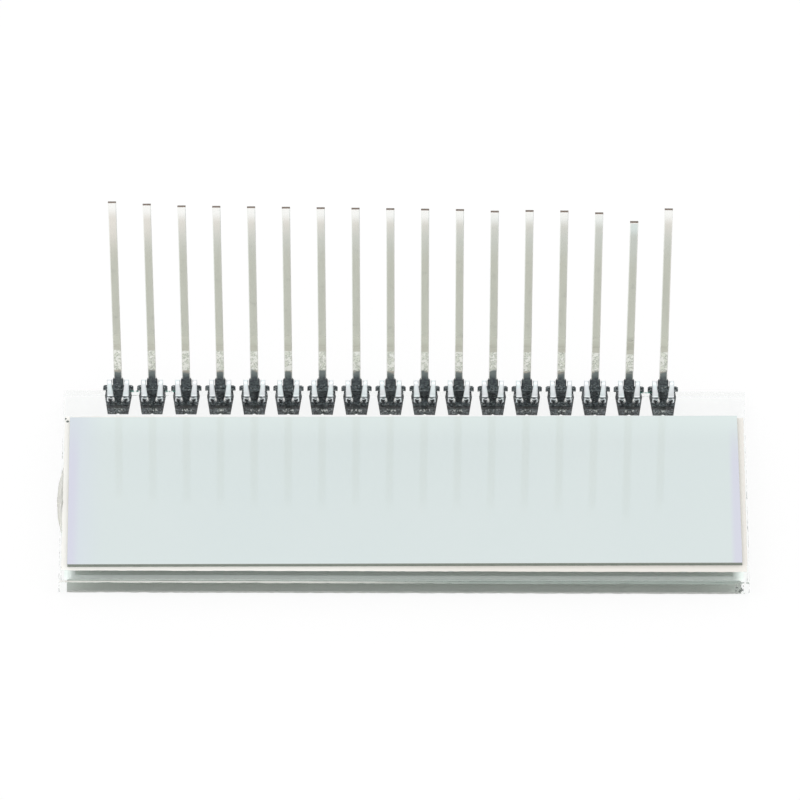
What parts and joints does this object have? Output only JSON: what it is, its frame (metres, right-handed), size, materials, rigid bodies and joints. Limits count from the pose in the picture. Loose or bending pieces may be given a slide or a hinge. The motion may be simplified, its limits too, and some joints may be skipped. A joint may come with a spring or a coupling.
{
  "type": "segment lcd display",
  "caption": "Bare reflective segment display cell of bonded glass plates, lying face down, with a row of long straight clip-on contact pins along a ledge.",
  "frame": {"origin": "under the middle of the whole object, on the outer face of the front polariser that it lies on", "axes": "+X along the row of pins from pin 1 to pin 17, +Y from the plain near edge towards the contact ledge, +Z along the pins, away from the viewing side"},
  "size_m": [0.0511, 0.0214, 0.0196],
  "materials": {
    "clear_glass": "clear, edges scribed and broken",
    "polariser_film": "neutral grey film",
    "reflector_film": "silvery white satin film",
    "seal_resin": "printed resin line",
    "liquid_crystal": "thin liquid layer",
    "conductive_resin": "silver-filled resin",
    "end_seal_resin": "clear cured resin bead",
    "tinned_strip": "bright tin plate, copper-brown cut ends"
  },
  "bodies": {
    "root": {"common_transfer_dots": "conductive_resin", "contact_pin_01": "tinned_strip", "contact_pin_02": "tinned_strip", "contact_pin_03": "tinned_strip", "contact_pin_04": "tinned_strip", "contact_pin_05": "tinned_strip", "contact_pin_06": "tinned_strip", "contact_pin_07": "tinned_strip", "contact_pin_08": "tinned_strip", "contact_pin_09": "tinned_strip", "contact_pin_10": "tinned_strip", "contact_pin_11": "tinned_strip", "contact_pin_12": "tinned_strip", "contact_pin_13": "tinned_strip", "contact_pin_14": "tinned_strip", "contact_pin_15": "tinned_strip", "contact_pin_16": "tinned_strip", "contact_pin_17": "tinned_strip", "fill_port_plug": "end_seal_resin", "front_glass": "clear_glass", "front_polariser": "polariser_film", "liquid_crystal_layer": "liquid_crystal", "perimeter_seal": "seal_resin", "rear_glass": "clear_glass", "rear_polariser": "polariser_film", "reflector_film": "reflector_film"}
  },
  "joints": []
}
